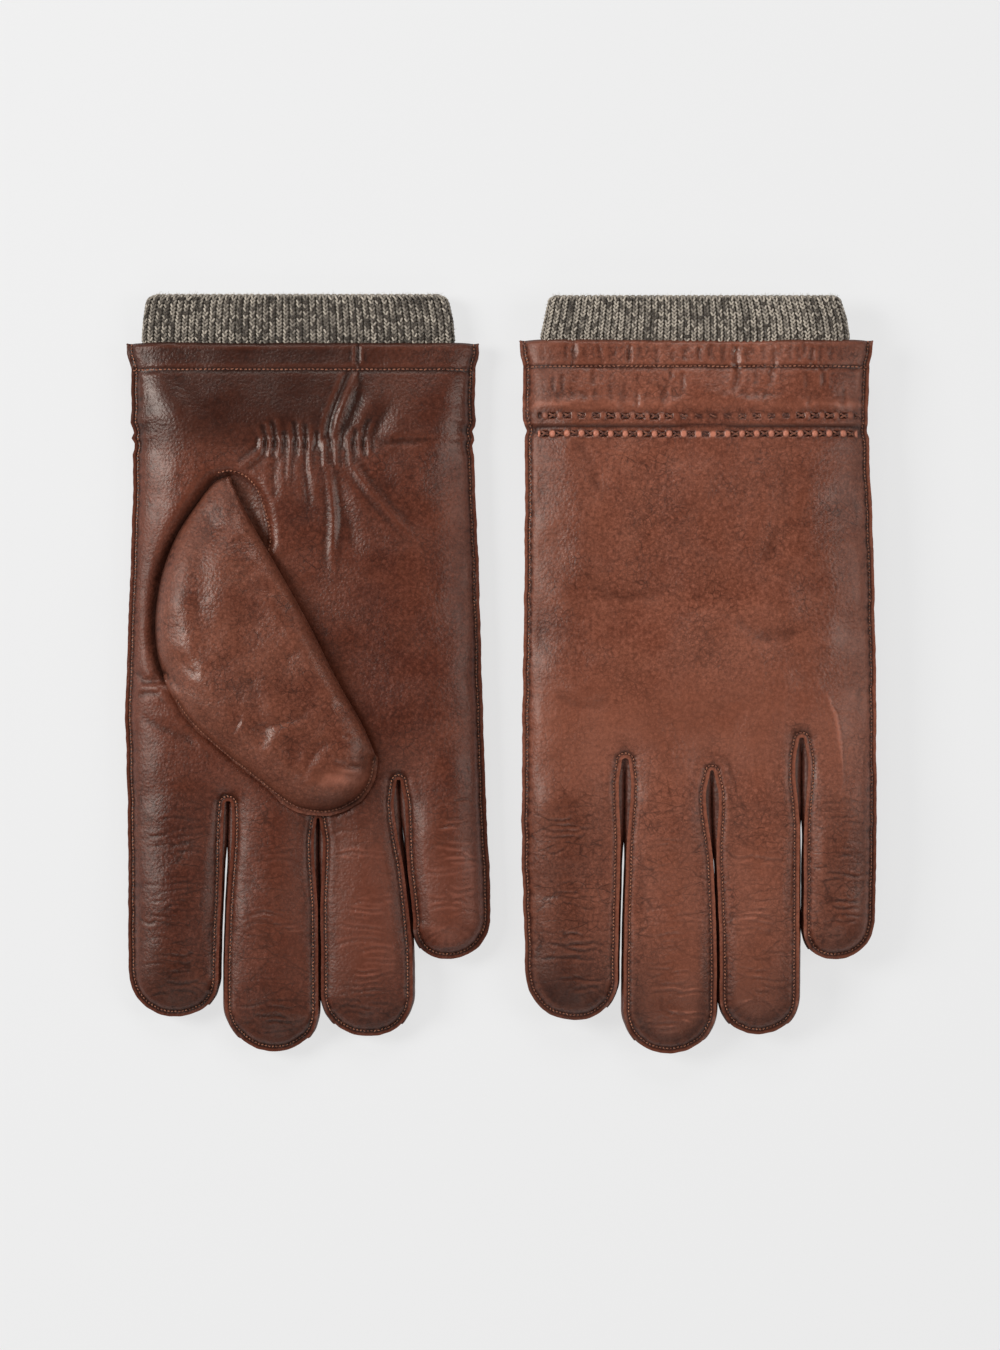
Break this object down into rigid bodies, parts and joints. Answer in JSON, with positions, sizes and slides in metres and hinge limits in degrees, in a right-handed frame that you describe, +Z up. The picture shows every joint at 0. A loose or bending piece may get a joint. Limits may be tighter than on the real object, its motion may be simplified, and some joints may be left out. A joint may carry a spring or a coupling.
{
  "type": "pair of leather gloves",
  "caption": "Pair of lined leather dress gloves with ribbed knit cuffs, one lying palm up with its thumb folded in, the other back up.",
  "frame": {"origin": "on the table, under the middle of the box around the pair as it lies", "axes": "+Z up from the table, +Y from the fingertips to the cuffs, +X from the right-hand glove to the left-hand glove"},
  "size_m": [0.2376, 0.2413, 0.0221],
  "materials": {
    "palm_leather": "soft satin, fine grain",
    "back_leather": "soft satin, fine grain",
    "fourchette_leather": "soft satin, darker than the palm",
    "cuff_knit": "ribbed wool knit, melange grey-brown",
    "lining_knit": "fine brushed knit",
    "elastic": "woven elastic tape",
    "thread": "twisted sewing thread"
  },
  "bodies": {
    "right_hand": {"right_palm": "palm_leather", "right_back": "back_leather", "right_cuff_band": "back_leather", "right_knit_cuff": "cuff_knit", "right_palm_lining": "lining_knit", "right_back_lining": "lining_knit", "right_wrist_elastic": "elastic", "right_bead_stitches": "thread"},
    "right_thumb": {"right_thumb_outer": "back_leather", "right_thumb_inner": "palm_leather", "right_thumb_lining": "lining_knit"},
    "right_index": {"right_index_palm_side": "palm_leather", "right_index_back_side": "back_leather", "right_index_fourchette": "fourchette_leather", "right_index_lining": "lining_knit"},
    "right_middle": {"right_middle_palm_side": "palm_leather", "right_middle_back_side": "back_leather", "right_middle_fourchette": "fourchette_leather", "right_middle_lining": "lining_knit"},
    "right_ring": {"right_ring_palm_side": "palm_leather", "right_ring_back_side": "back_leather", "right_ring_fourchette": "fourchette_leather", "right_ring_lining": "lining_knit"},
    "right_little": {"right_little_palm_side": "palm_leather", "right_little_back_side": "back_leather", "right_little_fourchette": "fourchette_leather", "right_little_lining": "lining_knit"},
    "left_hand": {"left_palm": "palm_leather", "left_back": "back_leather", "left_cuff_band": "back_leather", "left_knit_cuff": "cuff_knit", "left_palm_lining": "lining_knit", "left_back_lining": "lining_knit", "left_wrist_elastic": "elastic", "left_bead_stitches": "thread"},
    "left_thumb": {"left_thumb_outer": "back_leather", "left_thumb_inner": "palm_leather", "left_thumb_lining": "lining_knit"},
    "left_index": {"left_index_palm_side": "palm_leather", "left_index_back_side": "back_leather", "left_index_fourchette": "fourchette_leather", "left_index_lining": "lining_knit"},
    "left_middle": {"left_middle_palm_side": "palm_leather", "left_middle_back_side": "back_leather", "left_middle_fourchette": "fourchette_leather", "left_middle_lining": "lining_knit"},
    "left_ring": {"left_ring_palm_side": "palm_leather", "left_ring_back_side": "back_leather", "left_ring_fourchette": "fourchette_leather", "left_ring_lining": "lining_knit"},
    "left_little": {"left_little_palm_side": "palm_leather", "left_little_back_side": "back_leather", "left_little_fourchette": "fourchette_leather", "left_little_lining": "lining_knit"}
  },
  "joints": [
    {"name": "left_glove_lift", "type": "slide", "parent": "right_hand", "child": "left_hand", "axis": [0, 0, 1], "range_m": [0, 0.12]},
    {"name": "right_index_curl", "type": "hinge", "parent": "right_hand", "child": "right_index", "pos_m": [-0.1036, -0.0422, 0.014], "axis": [-1, 0, 0], "range_deg": [0, 90]},
    {"name": "right_middle_curl", "type": "hinge", "parent": "right_hand", "child": "right_middle", "pos_m": [-0.0729, -0.0467, 0.014], "axis": [-1, 0, 0], "range_deg": [0, 90]},
    {"name": "right_ring_curl", "type": "hinge", "parent": "right_hand", "child": "right_ring", "pos_m": [-0.0429, -0.0462, 0.014], "axis": [-1, 0, 0], "range_deg": [0, 90]},
    {"name": "right_little_curl", "type": "hinge", "parent": "right_hand", "child": "right_little", "pos_m": [-0.01635, -0.0352, 0.014], "axis": [-1, 0, 0], "range_deg": [0, 90]},
    {"name": "right_thumb_fold", "type": "hinge", "parent": "right_hand", "child": "right_thumb", "pos_m": [-0.1078, -0.0047, 0.0142], "axis": [-0.2807, -0.9598, 0], "range_deg": [0, 115]},
    {"name": "left_index_curl", "type": "hinge", "parent": "left_hand", "child": "left_index", "pos_m": [0.02, -0.04177, 0.008], "axis": [1, 0, 0], "range_deg": [-6, 84]},
    {"name": "left_middle_curl", "type": "hinge", "parent": "left_hand", "child": "left_middle", "pos_m": [0.0507, -0.04627, 0.008], "axis": [1, 0, 0], "range_deg": [-6, 84]},
    {"name": "left_ring_curl", "type": "hinge", "parent": "left_hand", "child": "left_ring", "pos_m": [0.0807, -0.04577, 0.008], "axis": [1, 0, 0], "range_deg": [-6, 84]},
    {"name": "left_little_curl", "type": "hinge", "parent": "left_hand", "child": "left_little", "pos_m": [0.10725, -0.03477, 0.008], "axis": [1, 0, 0], "range_deg": [-6, 84]},
    {"name": "left_thumb_fold", "type": "hinge", "parent": "left_hand", "child": "left_thumb", "pos_m": [0.0158, -0.00427, 0.0078], "axis": [0.2807, 0.9598, 0], "range_deg": [0, 115]}
  ]
}
